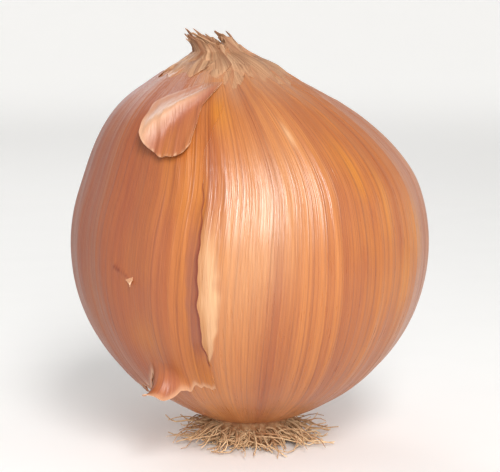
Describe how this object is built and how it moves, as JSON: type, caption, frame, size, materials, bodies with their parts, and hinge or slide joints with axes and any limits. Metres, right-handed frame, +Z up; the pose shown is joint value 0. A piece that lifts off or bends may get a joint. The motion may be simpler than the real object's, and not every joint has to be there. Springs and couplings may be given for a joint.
{
  "type": "onion",
  "caption": "Dry yellow globe onion standing on its root end, with a folded papery neck, torn outer skin and a tuft of dried rootlets.",
  "frame": {"origin": "middle of the small flat spot under the root plate, which is the lowest point of the onion", "axes": "+Z up from the root end to the neck; the torn face with its loose shoulder flap looks along -Y, so +X is to the right of it; the neck leans towards -X"},
  "size_m": [0.0852, 0.0856, 0.0993],
  "materials": {
    "inner_skin": "satin golden-copper dry skin with fine lengthwise veins",
    "outer_skin": "dull brown-copper torn dry skin with a mauve cast",
    "dry_root": "matt straw-coloured dried rootlets"
  },
  "bodies": {
    "root": {"bulb": "inner_skin", "outer_skin": "outer_skin", "root_tuft": "dry_root"}
  },
  "joints": []
}
